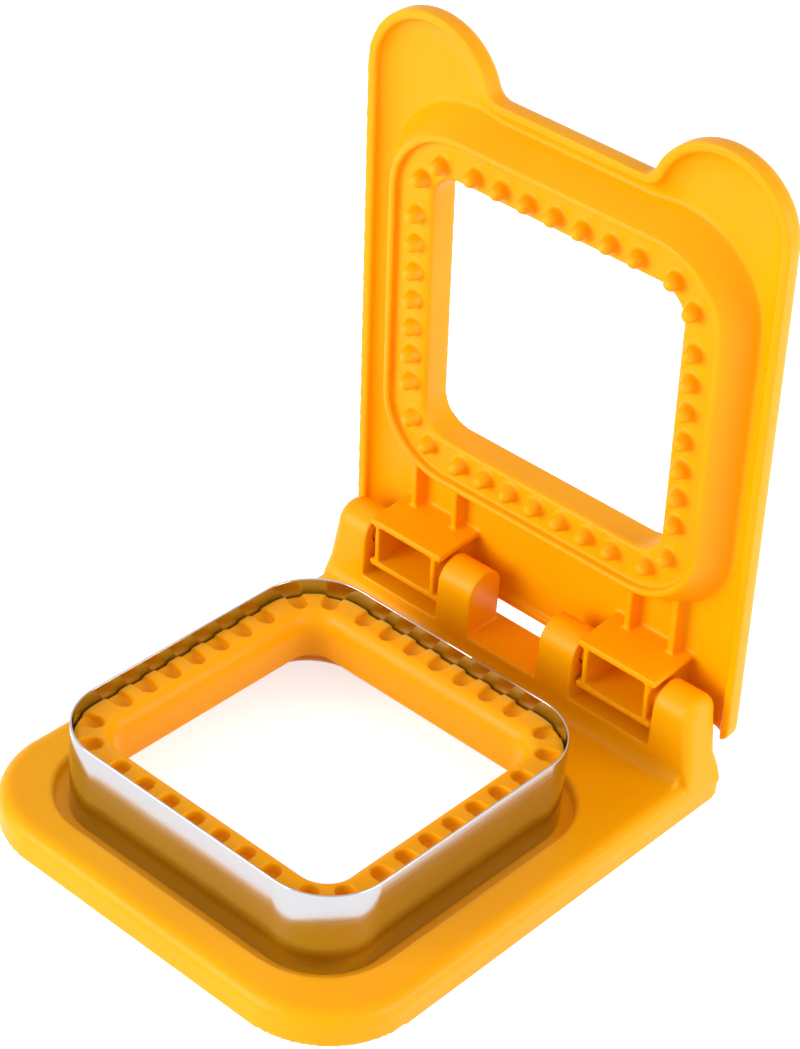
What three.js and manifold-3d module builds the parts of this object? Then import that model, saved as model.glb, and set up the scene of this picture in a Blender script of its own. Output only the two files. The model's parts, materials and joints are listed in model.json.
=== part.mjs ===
// Sandwich cutter and sealer, in millimetres, +Z up.
// A square steel band stands in the well of a plastic base and cuts the bread. The notched ring
// inside the band and the toothed frame on the hinged lid press the edges of the slices together.
// X runs along the hinge, -Y is the front, and the base rests on Z = 0.
import * as THREE from "three";
import { mergeVertices } from "three/addons/utils/BufferGeometryUtils.js";
import Module from "manifold-3d";

const wasm = await Module();
wasm.setup();

// Clearances
const runningGap = 0.3;
const seatGap = 0.1;
const sideGap = 0.5;
const overrun = 1;

// Steel band
const bandWidth = 81.9;
const bandCornerRadius = 15;
const bandThickness = 0.5;
const bandTop = 25.5;
const bandSeamGap = 0.25;
const bandSeamOffset = 6;

// Hinge
const hingeHeight = 22.5;
const hingeToRear = 7.4;
const hingeToBand = 64;
const knuckleRadius = 5.3;
const innerKnuckleStart = 10;
const armStart = 20;
const armWidth = 21;
const stubRadius = 2.3;
const stubReach = 2.1;

// Base moulding
const baseWidth = 108;
const baseDepth = 124.2;
const deckHeight = 7.7;
const deckEdgeRadius = 3;
const frontCornerRadius = 19.5;
const rearCornerRadius = 2.5;
const baseWall = 2.2;
const channelWidth = 3.15;
const wellEdgeRadius = 0.6;
const wellWall = 2;
const ledgeFoot = 2.8;
const ledgeThickness = 2;
const ledgeChamfer = 1.8;
const upstandGap = 0.4;
const upstandTop = 12;
const upstandWall = 1.5;
const flangeDepth = 3;
const flangeReach = 4.4;
const blockHeight = 12.6;
const blockLedgeHeight = 14.4;
const blockRootRadius = 3.5;
const baseRibWidth = 1.6;
const baseRibFoot = 1.5;

// Notched ring
const ringTop = 22.4;
const ringGap = 0.5;
const ringDraft = 0.25;
const ringWidth = 7.05;
const ringLipRadius = 4.2;
const ringShoulderWidth = 2.8;
const ringShoulderDrop = 1.8;
const ringOuterWall = 1.6;
const ringInnerWall = 1.2;
const ringInnerFoot = 10;
const ringRoof = 4;
const notchWidth = 4.2;
const notchDepth = 2;
const toothPitch = 7.12;
const teethPerSide = 7;

// Screws that hold the ring
const screwBossRadius = 2.8;
const screwShankRadius = 0.9;
const screwLength = 7.5;
const screwHeadRadius = 1.7;
const screwHeadHeight = 1.2;
const screwHeadCrown = 0.4;
const screwClearance = 0.15;

// Lid moulding
const lidOverhang = 0.1;
const lidThickness = 5.7;
const lidTail = 8;
const lidBackRadius = 3.2;
const lidTailCornerRadius = 4.5;
const rimWidth = 2.7;
const floorDepth = 3.4;
const earFloorDepth = 2.3;
const recessCornerRadius = 19;
const recessBlendWidth = 4.9;
const recessBlendRadius = 7.8;
const earDishWidth = 4;
const earRadius = 17;
const earRise = 14.5;
const earRootRadius = 3;

// Toothed frame on the lid
const lipGap = 1.1;
const lipThickness = 1.8;
const lipHeight = 3.9;
const lipEdgeRadius = 0.6;
const frameDraft = 0.7;
const frameRootRadius = 1.2;
const platformHeight = 2.2;
const openingInset = 7.95;
const openingDraft = 1;
const openingEdgeRadius = 1;
const toothHeight = 3;
const toothRadius = 2.3;
const toothTipRadius = 1;
const toothInset = 4.25;

// Hinge arms on the lid
const armTop = 6.6;
const armBottom = 6.5;
const armReach = 4.4;
const flangeThickness = 1.6;
const flangeOverhang = 1.5;
const armWall = 1.3;
const gussetThickness = 1.7;
const gussetShares = [0.24, 0.81];

// The lid leans forward at rest
const restLean = THREE.MathUtils.degToRad(4);

// Steps on round stretches
const cornerSteps = 8;
const earSteps = 20;
const filletSteps = 4;
const roundSides = 20;
const toothSides = 10;
const toothTipSteps = 2;

// Places that follow from the sizes above
const bandHalf = bandWidth / 2;
const cornerCentre = bandHalf - bandCornerRadius;
const wellHalf = bandHalf + channelWidth;
const ledgeTop = ledgeFoot + ledgeThickness;
const bandInner = bandHalf - bandThickness;
const toothHalf = bandHalf - toothInset;
const rearY = hingeToRear;
const frontY = rearY - baseDepth;
const bandY = -hingeToBand;
const baseHalf = baseWidth / 2;
const armEnd = armStart + armWidth;
const outerKnuckleStart = armEnd + sideGap;
const innerKnuckleEnd = armStart - sideGap;

// A closed geometry as a solid for joining and cutting.
function solidOf(geometry) {
  const bare = geometry.clone();
  bare.deleteAttribute("normal");
  bare.deleteAttribute("uv");
  const merged = mergeVertices(bare);
  return new wasm.Manifold(
    new wasm.Mesh({
      numProp: 3,
      vertProperties: new Float32Array(merged.attributes.position.array),
      triVerts: new Uint32Array(merged.index.array),
    }),
  );
}

// A named mesh from a solid.
function meshOf(name, solid, material) {
  const { vertProperties, triVerts } = solid.getMesh();
  const geometry = new THREE.BufferGeometry();
  geometry.setAttribute("position", new THREE.BufferAttribute(vertProperties, 3));
  geometry.setIndex(new THREE.BufferAttribute(triVerts, 1));
  const flat = geometry.toNonIndexed();
  flat.computeVertexNormals();
  const mesh = new THREE.Mesh(flat, material);
  mesh.name = name;
  return mesh;
}

function joined(solids) {
  return solids.reduce((whole, solid) => whole.add(solid));
}

function less(solid, cutters) {
  return cutters.reduce((left, cutter) => left.subtract(cutter), solid);
}

// Points of an arc, both ends included.
function arc(centreX, centreY, radius, from, to, steps) {
  const points = [];
  for (let i = 0; i <= steps; i += 1) {
    const angle = from + ((to - from) * i) / steps;
    points.push(
      new THREE.Vector2(centreX + radius * Math.cos(angle), centreY + radius * Math.sin(angle)),
    );
  }
  return points;
}

const rightAngle = Math.PI / 2;

// A rectangle with its own radius at the front and at the rear corners, anticlockwise.
function roundedRectangle(halfX, front, rear, frontRadius, rearRadius) {
  const corners = [
    [halfX - rearRadius, rear - rearRadius, rearRadius],
    [rearRadius - halfX, rear - rearRadius, rearRadius],
    [frontRadius - halfX, front + frontRadius, frontRadius],
    [halfX - frontRadius, front + frontRadius, frontRadius],
  ];
  return corners.flatMap(([x, y, radius], turn) =>
    arc(x, y, radius, turn * rightAngle, (turn + 1) * rightAngle, cornerSteps),
  );
}

// A square with round corners about the shared corner centres of the band.
function roundedSquare(half) {
  const radius = half - cornerCentre;
  return roundedRectangle(half, -half, half, radius, radius);
}

// A solid through outlines of equal length, stacked upwards.
function stack(levels) {
  const count = levels[0].outline.length;
  const positions = levels.flatMap(({ outline, height }) =>
    outline.flatMap((point) => [point.x, point.y, height]),
  );
  const index = [];
  for (let level = 0; level + 1 < levels.length; level += 1)
    for (let i = 0; i < count; i += 1) {
      const a = level * count + i;
      const b = level * count + ((i + 1) % count);
      index.push(a, b, b + count, a, b + count, a + count);
    }
  const top = (levels.length - 1) * count;
  const { triangulateShape } = THREE.ShapeUtils;
  triangulateShape(levels[0].outline, []).forEach(([a, b, c]) => index.push(c, b, a));
  triangulateShape(levels.at(-1).outline, []).forEach(([a, b, c]) =>
    index.push(top + a, top + b, top + c),
  );
  const geometry = new THREE.BufferGeometry();
  geometry.setAttribute("position", new THREE.Float32BufferAttribute(positions, 3));
  geometry.setIndex(index);
  return solidOf(geometry);
}

// Levels of an edge that is rounded at its upper (rise 1) or lower (rise -1) end.
function roundedEdge(outlineAt, inset, height, radius, rise) {
  const turns = Array.from({ length: filletSteps + 1 }, (_, i) => (i / filletSteps) * rightAngle);
  const levels = turns.map((turn) => ({
    outline: outlineAt(inset + radius * (1 - Math.cos(turn))),
    height: height - rise * radius * (1 - Math.sin(turn)),
  }));
  return rise > 0 ? levels : levels.reverse();
}

// A section of half width and height swept round the rounded square, anticlockwise.
function squareRing(section) {
  const rings = section.map(([half]) => roundedSquare(half));
  const count = rings[0].length;
  const positions = rings.flatMap((ring, row) =>
    ring.flatMap((point) => [point.x, point.y, section[row][1]]),
  );
  const index = [];
  for (let row = 0; row < rings.length; row += 1)
    for (let i = 0; i < count; i += 1) {
      const next = (i + 1) % count;
      const above = ((row + 1) % rings.length) * count;
      const a = row * count + i;
      const b = row * count + next;
      index.push(a, b, above + next, a, above + next, above + i);
    }
  const geometry = new THREE.BufferGeometry();
  geometry.setAttribute("position", new THREE.Float32BufferAttribute(positions, 3));
  geometry.setIndex(index);
  return solidOf(geometry);
}

// A round stretch of a section, as pairs of half width and height.
function sectionArc(half, height, radius, from, to) {
  return arc(half, height, radius, from, to, filletSteps).map((point) => [point.x, point.y]);
}

function box(x0, x1, y0, y1, z0, z1) {
  const geometry = new THREE.BoxGeometry(x1 - x0, y1 - y0, z1 - z0);
  geometry.translate((x0 + x1) / 2, (y0 + y1) / 2, (z0 + z1) / 2);
  return solidOf(geometry);
}

function prism(outline, z0, z1) {
  return stack([
    { outline, height: z0 },
    { outline, height: z1 },
  ]);
}

// An upright round bar or hole.
function post(x, y, radius, z0, z1) {
  const geometry = new THREE.CylinderGeometry(radius, radius, z1 - z0, roundSides);
  geometry.rotateX(rightAngle);
  geometry.translate(x, y, (z0 + z1) / 2);
  return solidOf(geometry);
}

// A round bar or hole along X.
function barAlongX(x0, x1, y, z, radius) {
  const geometry = new THREE.CylinderGeometry(radius, radius, x1 - x0, roundSides);
  geometry.rotateZ(rightAngle);
  geometry.translate((x0 + x1) / 2, y, z);
  return solidOf(geometry);
}

// A side outline, given as Y and Z, carried along X.
function alongX(points, x0, x1) {
  const geometry = new THREE.ExtrudeGeometry(new THREE.Shape(points), {
    depth: x1 - x0,
    bevelEnabled: false,
  });
  const turn = new THREE.Matrix4().makeBasis(
    new THREE.Vector3(0, 1, 0),
    new THREE.Vector3(0, 0, 1),
    new THREE.Vector3(1, 0, 0),
  );
  geometry.applyMatrix4(turn);
  geometry.translate(x0, 0, 0);
  return solidOf(geometry);
}

// Both halves of something that the base or the lid has on its left and its right.
function bothSides(make) {
  const right = make();
  return right.add(right.mirror([1, 0, 0]));
}

// Places of the notches and teeth: a row on each side and a pair round each corner.
function toothPlaces(half) {
  const radius = half - cornerCentre;
  const cornerTurn = Math.asin(toothPitch / 2 / radius);
  const places = [];
  for (let side = 0; side < 4; side += 1) {
    const turn = side * rightAngle;
    const middle = (teethPerSide - 1) / 2;
    for (let i = 0; i < teethPerSide; i += 1)
      places.push({ along: (i - middle) * toothPitch, out: half, turn, lean: 0 });
    for (const lean of [rightAngle / 2 - cornerTurn, rightAngle / 2 + cornerTurn])
      places.push({
        along: -cornerCentre - radius * Math.sin(lean),
        out: cornerCentre + radius * Math.cos(lean),
        turn,
        lean,
      });
  }
  return places.map(({ along, out, turn, lean }) => ({
    x: out * Math.cos(turn) + along * Math.sin(turn),
    y: out * Math.sin(turn) - along * Math.cos(turn),
    angle: turn + lean,
  }));
}

// Steel band: a bent strip with a butt seam at the rear.
function makeBand() {
  const foot = ledgeTop + seatGap;
  const strip = squareRing([
    [bandHalf, foot],
    [bandHalf, bandTop],
    [bandInner, bandTop],
    [bandInner, foot],
  ]);
  const seam = box(
    bandSeamOffset,
    bandSeamOffset + bandSeamGap,
    bandInner - overrun,
    bandHalf + overrun,
    foot - overrun,
    bandTop + overrun,
  );
  return strip.subtract(seam);
}

// Half widths of the upstand and the flange that carry the ring, and of the ring itself.
const upstandHalf = bandInner - upstandGap;
const upstandInner = upstandHalf - upstandWall;
const flangeInner = upstandInner - flangeReach;
const flangeFoot = upstandTop - flangeDepth;
const ringHalf = bandInner - ringGap;
const ringEdgeHalf = ringHalf - ringDraft;
const ringLipHalf = ringEdgeHalf - ringWidth;
const ringSeat = upstandTop + seatGap;
const ringHollowTop = ringTop - ringRoof;

// Screw places on the flange, at its four corners.
const screwPlace = cornerCentre + ((upstandInner + flangeInner) / 2 - cornerCentre) * Math.SQRT1_2;
const screwPlaces = [
  [1, 1],
  [-1, 1],
  [-1, -1],
  [1, -1],
].map(([x, y]) => [x * screwPlace, y * screwPlace]);
const screwSeat = flangeFoot + screwHeadHeight + seatGap * 2;

// Notched ring: a cap that is hollow below, with screw bosses in its corners.
function makeRing() {
  const shoulder = arc(0, 0, 1, 0, rightAngle, filletSteps).map(({ x, y }) => [
    ringEdgeHalf - ringShoulderWidth * (1 - x),
    ringTop - ringShoulderDrop * (1 - y),
  ]);
  const body = squareRing([
    [ringHalf, ringSeat],
    ...shoulder,
    ...sectionArc(
      ringLipHalf + ringLipRadius,
      ringTop - ringLipRadius,
      ringLipRadius,
      rightAngle,
      rightAngle * 2,
    ),
    [ringLipHalf, ringInnerFoot],
    [ringLipHalf + ringInnerWall, ringInnerFoot],
    [ringLipHalf + ringInnerWall, ringHollowTop],
    [ringEdgeHalf - ringOuterWall, ringHollowTop],
    [ringHalf - ringOuterWall, ringSeat],
  ]);
  const bosses = screwPlaces.map(([x, y]) =>
    post(x, y, screwBossRadius, ringSeat, ringHollowTop + overrun),
  );
  const holes = screwPlaces.map(([x, y]) =>
    post(
      x,
      y,
      screwShankRadius + screwClearance,
      ringSeat - overrun,
      screwSeat + screwLength + screwClearance,
    ),
  );
  const notchRadius = notchWidth / 2;
  const reach = ringHalf - toothHalf + overrun;
  const notchShape = [
    new THREE.Vector2(reach, -notchRadius),
    new THREE.Vector2(reach, notchRadius),
    ...arc(0, 0, notchRadius, rightAngle, rightAngle * 3, cornerSteps),
  ];
  const notch = prism(notchShape, ringTop - notchDepth, ringTop + overrun);
  const notches = toothPlaces(toothHalf).map(({ x, y, angle }) =>
    notch.rotate([0, 0, THREE.MathUtils.radToDeg(angle)]).translate([x, y, 0]),
  );
  return less(joined([body, ...bosses]), [...holes, ...notches]);
}

// Self-tapping pan screw, driven from below.
function makeScrew() {
  const headTop = screwSeat - seatGap;
  const headFoot = headTop - screwHeadHeight;
  const profile = [
    new THREE.Vector2(0, headFoot),
    new THREE.Vector2(screwHeadRadius - screwHeadCrown, headFoot),
    new THREE.Vector2(screwHeadRadius, headFoot + screwHeadCrown),
    new THREE.Vector2(screwHeadRadius, headTop),
    new THREE.Vector2(screwShankRadius, headTop),
    new THREE.Vector2(screwShankRadius, screwSeat + screwLength - screwShankRadius),
    new THREE.Vector2(0, screwSeat + screwLength),
  ];
  const geometry = new THREE.LatheGeometry(profile, roundSides);
  geometry.rotateX(rightAngle);
  return solidOf(geometry);
}

// Outline of the base, drawn in by an inset.
function baseOutline(inset) {
  return roundedRectangle(
    baseHalf - inset,
    frontY + inset,
    rearY - inset,
    frontCornerRadius - inset,
    Math.max(rearCornerRadius - inset, wellEdgeRadius),
  );
}

// Side outline of a knuckle, as Y and Z.
function knuckleOutline(bottom) {
  return [
    new THREE.Vector2(-knuckleRadius, bottom),
    new THREE.Vector2(knuckleRadius, bottom),
    ...arc(0, hingeHeight, knuckleRadius, 0, rightAngle * 2, cornerSteps * 2),
  ];
}

// Ribs under the deck, from the skirt to the wall of the well.
function baseRibs() {
  const height = deckHeight - baseWall + overrun;
  const outer = wellHalf + wellWall - overrun;
  const skirt = baseHalf - overrun;
  const ribs = [];
  for (const place of [-cornerCentre, 0, cornerCentre]) {
    const near = place - baseRibWidth / 2;
    const far = place + baseRibWidth / 2;
    ribs.push(bothSides(() => box(outer, skirt, bandY + near, bandY + far, baseRibFoot, height)));
    ribs.push(box(near, far, frontY + overrun, bandY - outer, baseRibFoot, height));
    ribs.push(box(near, far, bandY + outer, rearY - overrun, baseRibFoot, height));
  }
  return ribs;
}

// Raised hinge block with its four knuckles, hollow below.
function hingeBlock() {
  const foot = deckHeight - baseWall;
  const rootReach = baseHalf - deckEdgeRadius;
  const block = alongX(
    [
      new THREE.Vector2(-knuckleRadius - blockRootRadius, foot),
      new THREE.Vector2(rearY, foot),
      new THREE.Vector2(rearY, blockHeight),
      new THREE.Vector2(-knuckleRadius, blockHeight),
      ...arc(
        -knuckleRadius - blockRootRadius,
        deckHeight + blockRootRadius,
        blockRootRadius,
        0,
        -rightAngle,
        cornerSteps,
      ),
    ],
    -rootReach,
    rootReach,
  );
  const ends = bothSides(() =>
    box(outerKnuckleStart, baseHalf, -knuckleRadius, rearY, 0, blockLedgeHeight),
  );
  const rear = box(-baseHalf, baseHalf, rearY - baseWall, rearY, 0, blockHeight);
  const knuckles = bothSides(() =>
    joined([
      alongX(knuckleOutline(foot), innerKnuckleStart, innerKnuckleEnd),
      alongX(knuckleOutline(foot), outerKnuckleStart, baseHalf),
    ]),
  );
  const boreEnd = stubReach + runningGap;
  const hollow = box(
    baseWall - baseHalf,
    baseHalf - baseWall,
    baseWall - knuckleRadius,
    rearY - baseWall,
    -overrun,
    blockHeight - baseWall,
  );
  const knuckleHollows = bothSides(() =>
    box(
      armEnd + boreEnd + baseWall,
      baseHalf - baseWall,
      baseWall - knuckleRadius,
      knuckleRadius - baseWall,
      -overrun,
      hingeHeight,
    ),
  );
  const bores = bothSides(() =>
    barAlongX(armStart - boreEnd, armEnd + boreEnd, 0, hingeHeight, stubRadius + runningGap),
  );
  const envelope = prism(baseOutline(0), 0, hingeHeight + knuckleRadius + overrun);
  return {
    body: joined([block, ends, rear, knuckles]).intersect(envelope),
    cuts: [hollow, knuckleHollows, bores],
  };
}

// Wall and ledge of the well, and the flanged upstand that carries the ring.
function wellParts() {
  const cut = stack([
    { outline: roundedSquare(wellHalf), height: -overrun },
    { outline: roundedSquare(wellHalf), height: deckHeight - wellEdgeRadius },
    { outline: roundedSquare(wellHalf + wellEdgeRadius), height: deckHeight },
    { outline: roundedSquare(wellHalf + wellEdgeRadius), height: deckHeight + overrun },
  ]);
  const carrier = squareRing([
    [wellHalf + wellWall / 2, ledgeFoot],
    [wellHalf + wellWall / 2, ledgeTop],
    [upstandHalf, ledgeTop],
    [upstandHalf, upstandTop],
    [flangeInner, upstandTop],
    [flangeInner, flangeFoot],
    [upstandInner, flangeFoot],
    [upstandInner, ledgeFoot + ledgeChamfer],
    [upstandInner + ledgeChamfer, ledgeFoot],
  ]);
  const holes = screwPlaces.flatMap(([x, y]) => [
    post(x, y, screwShankRadius + screwClearance, flangeFoot - overrun, upstandTop + overrun),
    post(x, y, screwHeadRadius + screwClearance, flangeFoot - overrun, screwSeat),
  ]);
  return { cut, carrier: less(carrier, holes) };
}

// Base moulding: skirt, deck, well, and the hinge block with its knuckles.
function makeBase() {
  const shell = stack([
    { outline: baseOutline(0), height: 0 },
    ...roundedEdge(baseOutline, 0, deckHeight, deckEdgeRadius, 1),
  ]);
  const hollow = prism(baseOutline(baseWall), -overrun, deckHeight - baseWall);
  const wellBlank = prism(roundedSquare(wellHalf + wellWall), 0, deckHeight - wellEdgeRadius);
  const { body, cuts } = hingeBlock();
  const { cut, carrier } = wellParts();
  const toWell = (solid) => solid.translate([0, bandY, 0]);
  const plate = joined([shell.subtract(hollow), ...baseRibs(), toWell(wellBlank), body]);
  return less(plate, [...cuts, toWell(cut)]).add(toWell(carrier));
}

// The lid lies face up while it is made: X along the hinge, Y up the lid, Z towards the base.
const lidHalf = baseHalf + lidOverhang;
const lidTop = hingeToBand + (bandY - frontY);
const rimZ = -knuckleRadius - runningGap;
const lidFloorZ = rimZ - floorDepth;
const lidBackZ = rimZ - lidThickness;

// Outline of the lid with its two ears, drawn in by an inset. The tail has its own inset.
function lidOutline(inset, tailInset = inset) {
  const half = lidHalf - inset;
  const tailRadius = Math.max(lidTailCornerRadius - inset, lipEdgeRadius);
  const tailY = tailInset - lidTail + tailRadius;
  const radius = earRadius - inset;
  const earX = lidHalf - earRadius;
  const earY = lidTop + earRise - earRadius;
  const root = earRootRadius + inset;
  const rootY = lidTop - inset + root;
  const rootX = earX - Math.sqrt((radius + root) ** 2 - (rootY - earY) ** 2);
  const rootTurn = Math.atan2(rootY - earY, rootX - earX);
  const right = [
    ...arc(half - tailRadius, tailY, tailRadius, -rightAngle, 0, cornerSteps),
    ...arc(earX, earY, radius, 0, rootTurn, earSteps),
    ...arc(rootX, rootY, root, rootTurn - rightAngle * 2, -rightAngle, filletSteps).slice(1),
  ];
  const left = right.map((point) => new THREE.Vector2(-point.x, point.y)).reverse();
  return [...right, ...left];
}

// Outline of the deep recess between the rims, drawn in by an inset. It runs out at the tail.
function recessOutline(inset) {
  return roundedRectangle(
    lidHalf - rimWidth - inset,
    -lidTail - overrun,
    lidTop - rimWidth - inset,
    lipEdgeRadius,
    recessCornerRadius - inset,
  );
}

// Cutter for the dished recess inside the whole rim, ears included.
function dishCutter() {
  const outlineAt = (inset) => lidOutline(rimWidth + inset, -overrun);
  const levels = arc(0, 0, 1, -rightAngle, 0, filletSteps + 1).map(({ x, y }) => ({
    outline: outlineAt(earDishWidth * (1 - x)),
    height: rimZ + earFloorDepth * y,
  }));
  return stack([...levels, { outline: outlineAt(0), height: rimZ + overrun }]);
}

// Cutter for the deep recess, whose floor rises in a wide arc towards the rims.
function recessCutter() {
  const fullTurn = Math.asin(recessBlendWidth / recessBlendRadius);
  const levels = Array.from({ length: filletSteps + 1 }, (_, i) => {
    const turn = (fullTurn * i) / filletSteps;
    return {
      outline: recessOutline(recessBlendWidth - recessBlendRadius * Math.sin(turn)),
      height: lidFloorZ + recessBlendRadius * (1 - Math.cos(turn)),
    };
  });
  return stack([...levels, { outline: recessOutline(0), height: rimZ + overrun }]);
}

// Raised frame with its outer lip and the platform that carries the teeth.
function lidFrame() {
  const lipInner = bandHalf + lipGap;
  const lipOuter = lipInner + lipThickness;
  const rootHalf = lipOuter + frameDraft;
  const lipTop = rimZ + lipHeight;
  const platform = rimZ + platformHeight;
  const openingHalf = bandHalf - openingInset;
  return squareRing([
    [rootHalf + frameRootRadius, lidBackZ],
    ...sectionArc(
      rootHalf + frameRootRadius,
      lidFloorZ + frameRootRadius,
      frameRootRadius,
      -rightAngle,
      -rightAngle * 2,
    ),
    ...sectionArc(lipOuter - lipEdgeRadius, lipTop - lipEdgeRadius, lipEdgeRadius, 0, rightAngle),
    ...sectionArc(
      lipInner + lipEdgeRadius,
      lipTop - lipEdgeRadius,
      lipEdgeRadius,
      rightAngle,
      rightAngle * 2,
    ),
    [lipInner, platform],
    ...sectionArc(
      openingHalf + openingEdgeRadius,
      platform - openingEdgeRadius,
      openingEdgeRadius,
      rightAngle,
      rightAngle * 2,
    ),
    [openingHalf - openingDraft, lidBackZ],
  ]);
}

// Blunt teeth on the platform.
function lidTeeth() {
  const platform = rimZ + platformHeight;
  const shoulder = platform + toothHeight - toothTipRadius;
  const profile = [
    new THREE.Vector2(0, platform - overrun),
    new THREE.Vector2(toothRadius, platform - overrun),
    new THREE.Vector2(toothRadius, platform),
    ...arc(0, shoulder, toothTipRadius, 0, rightAngle, toothTipSteps),
  ];
  const geometry = new THREE.LatheGeometry(profile, toothSides);
  geometry.rotateX(rightAngle);
  const tooth = solidOf(geometry);
  return toothPlaces(toothHalf).map(({ x, y }) => tooth.translate([x, y + hingeToBand, 0]));
}

// Box-shaped hinge arm, open to the front, with its stub pins and gussets.
function lidArm() {
  const wallStart = armStart + flangeOverhang;
  const wallEnd = armEnd - flangeOverhang;
  const back = lidFloorZ - overrun;
  const flanges = [
    box(armStart, armEnd, armTop - flangeThickness, armTop, back, armReach),
    box(armStart, armEnd, -armBottom, flangeThickness - armBottom, back, armReach),
  ];
  const walls = [
    box(wallStart, wallStart + armWall, -armBottom, armTop, back, armReach),
    box(wallEnd - armWall, wallEnd, -armBottom, armTop, back, armReach),
  ];
  const stubs = [
    barAlongX(armStart - stubReach, wallStart + armWall, 0, 0, stubRadius),
    barAlongX(wallEnd - armWall, armEnd + stubReach, 0, 0, stubRadius),
  ];
  const frameFoot = hingeToBand - cornerCentre;
  const gussets = gussetShares.map((share) => {
    const middle = armStart + armWidth * share;
    const side = gussetThickness / 2;
    return box(middle - side, middle + side, armTop - overrun, frameFoot - overrun, back, rimZ);
  });
  return joined([...flanges, ...walls, ...stubs, ...gussets]);
}

// Lid moulding: rim, ears, recesses, frame, teeth and hinge arms.
function makeLid() {
  const plate = stack([
    ...roundedEdge(lidOutline, 0, lidBackZ, lidBackRadius, -1),
    { outline: lidOutline(0), height: rimZ },
  ]);
  const hollowed = less(plate, [
    dishCutter(),
    recessCutter(),
    prism(roundedSquare(bandHalf), lidBackZ - overrun, rimZ + overrun).translate([
      0,
      hingeToBand,
      0,
    ]),
  ]);
  const frame = lidFrame().translate([0, hingeToBand, 0]);
  const opening = prism(
    roundedSquare(bandHalf - openingInset),
    lidBackZ - overrun,
    armReach,
  ).translate([0, hingeToBand, 0]);
  const arms = bothSides(lidArm).subtract(opening);
  return joined([hollowed, frame, arms, ...lidTeeth()]);
}

// Materials
const orange = () =>
  new THREE.MeshStandardMaterial({ color: 0xffab16, roughness: 0.38, metalness: 0 });
const steel = (roughness) =>
  new THREE.MeshStandardMaterial({ color: 0xc9c6c4, roughness, metalness: 1 });

// Assembly, with the origin under the middle of the whole object at rest
const tailY = -lidBackZ - lidBackRadius;
const tailZ = lidBackRadius - lidTail;
const backY = tailY * Math.cos(restLean) - tailZ * Math.sin(restLean) + lidBackRadius;

const sandwichCutter = new THREE.Group();
sandwichCutter.position.y = -(frontY + backY) / 2;
sandwichCutter.add(meshOf("base_moulding", makeBase(), orange()));

const well = new THREE.Group();
well.position.y = bandY;
well.add(meshOf("cutter_band", makeBand(), steel(0.12)));
well.add(meshOf("sealing_ring", makeRing(), orange()));
screwPlaces.forEach(([x, y], i) => {
  const screw = meshOf(`ring_screw_${i + 1}`, makeScrew(), steel(0.35));
  screw.position.set(x, y, 0);
  well.add(screw);
});
sandwichCutter.add(well);

const lid = new THREE.Group();
lid.position.z = hingeHeight;
lid.rotation.x = rightAngle + restLean;
lid.add(meshOf("lid_moulding", makeLid(), orange()));
sandwichCutter.add(lid);

export default new THREE.Group().add(sandwichCutter);
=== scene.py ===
"""Sandwich cutter and sealer: finish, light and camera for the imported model."""
import json
import math

import bmesh
import bpy
from mathutils import Matrix, Vector


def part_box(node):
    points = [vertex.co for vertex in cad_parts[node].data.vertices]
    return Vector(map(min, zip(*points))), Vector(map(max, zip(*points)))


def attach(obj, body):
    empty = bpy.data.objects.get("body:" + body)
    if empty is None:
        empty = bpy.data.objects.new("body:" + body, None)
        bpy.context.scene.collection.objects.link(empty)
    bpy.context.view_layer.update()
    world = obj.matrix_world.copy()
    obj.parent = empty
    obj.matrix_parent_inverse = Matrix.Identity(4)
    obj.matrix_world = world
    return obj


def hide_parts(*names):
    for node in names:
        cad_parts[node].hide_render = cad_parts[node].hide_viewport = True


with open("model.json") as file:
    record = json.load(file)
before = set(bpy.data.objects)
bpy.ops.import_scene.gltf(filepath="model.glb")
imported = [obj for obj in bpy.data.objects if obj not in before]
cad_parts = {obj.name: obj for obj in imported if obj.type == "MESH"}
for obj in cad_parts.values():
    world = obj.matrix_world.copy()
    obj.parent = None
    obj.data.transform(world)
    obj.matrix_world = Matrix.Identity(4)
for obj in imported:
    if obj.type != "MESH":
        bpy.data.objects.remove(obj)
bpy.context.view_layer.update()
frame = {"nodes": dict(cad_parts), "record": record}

MM = 0.001
NODES = frame["nodes"]

# Camera, as found from the photograph
IMAGE_HEIGHT_PX = 1049
FOCAL_PX = 2891.3
SENSOR_MM = 36.0
AZIMUTH_DEG = 39.14
ELEVATION_DEG = 34.94
ROLL_DEG = 5.2
CAMERA_DISTANCE = 667.83 * MM
LOOK_LEFT = 42.64 * MM
LOOK_HEIGHT = 20.0 * MM
LOOK_BEHIND_REAR = 0.61 * MM

# Finish, as linear colours
ORANGE = (1.0, 0.43, 0.0, 1.0)
ORANGE_DEEP = (1.0, 0.395, 0.0, 1.0)
STEEL = (0.5, 0.51, 0.54, 1.0)
ZINC = (0.62, 0.63, 0.64, 1.0)
FLOOR_WHITE = (0.9, 0.9, 0.9, 1.0)

# Noise: scales are per metre, and the two levels are where its values mostly lie
NOISE_LOW = 0.3
NOISE_HIGH = 0.7
BEVEL_SAMPLES = 6

CLOUD_SCALE = 26.0
CLOUD_DETAIL = 4.0
GLOSS_SCALE = 90.0
GLOSS_DETAIL = 5.0
PLASTIC_ROUGHNESS = (0.3, 0.4)
PLASTIC_EDGE = 0.45 * MM
SOFT_DETAIL = 2.0
FLOW_SCALE = 45.0
FLOW_STRENGTH = 0.1
FLOW_HEIGHT = 0.1 * MM
GRAIN_SCALE = 2600.0
GRAIN_STRENGTH = 0.06
GRAIN_HEIGHT = 0.02 * MM
PLASTIC_IOR = 1.5
PLASTIC_SPECULAR = 0.17
PLASTIC_SUBSURFACE = 0.12
PLASTIC_SCATTER = (1.0, 0.35, 0.05)
PLASTIC_SCATTER_DEPTH = 1.6 * MM

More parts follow.
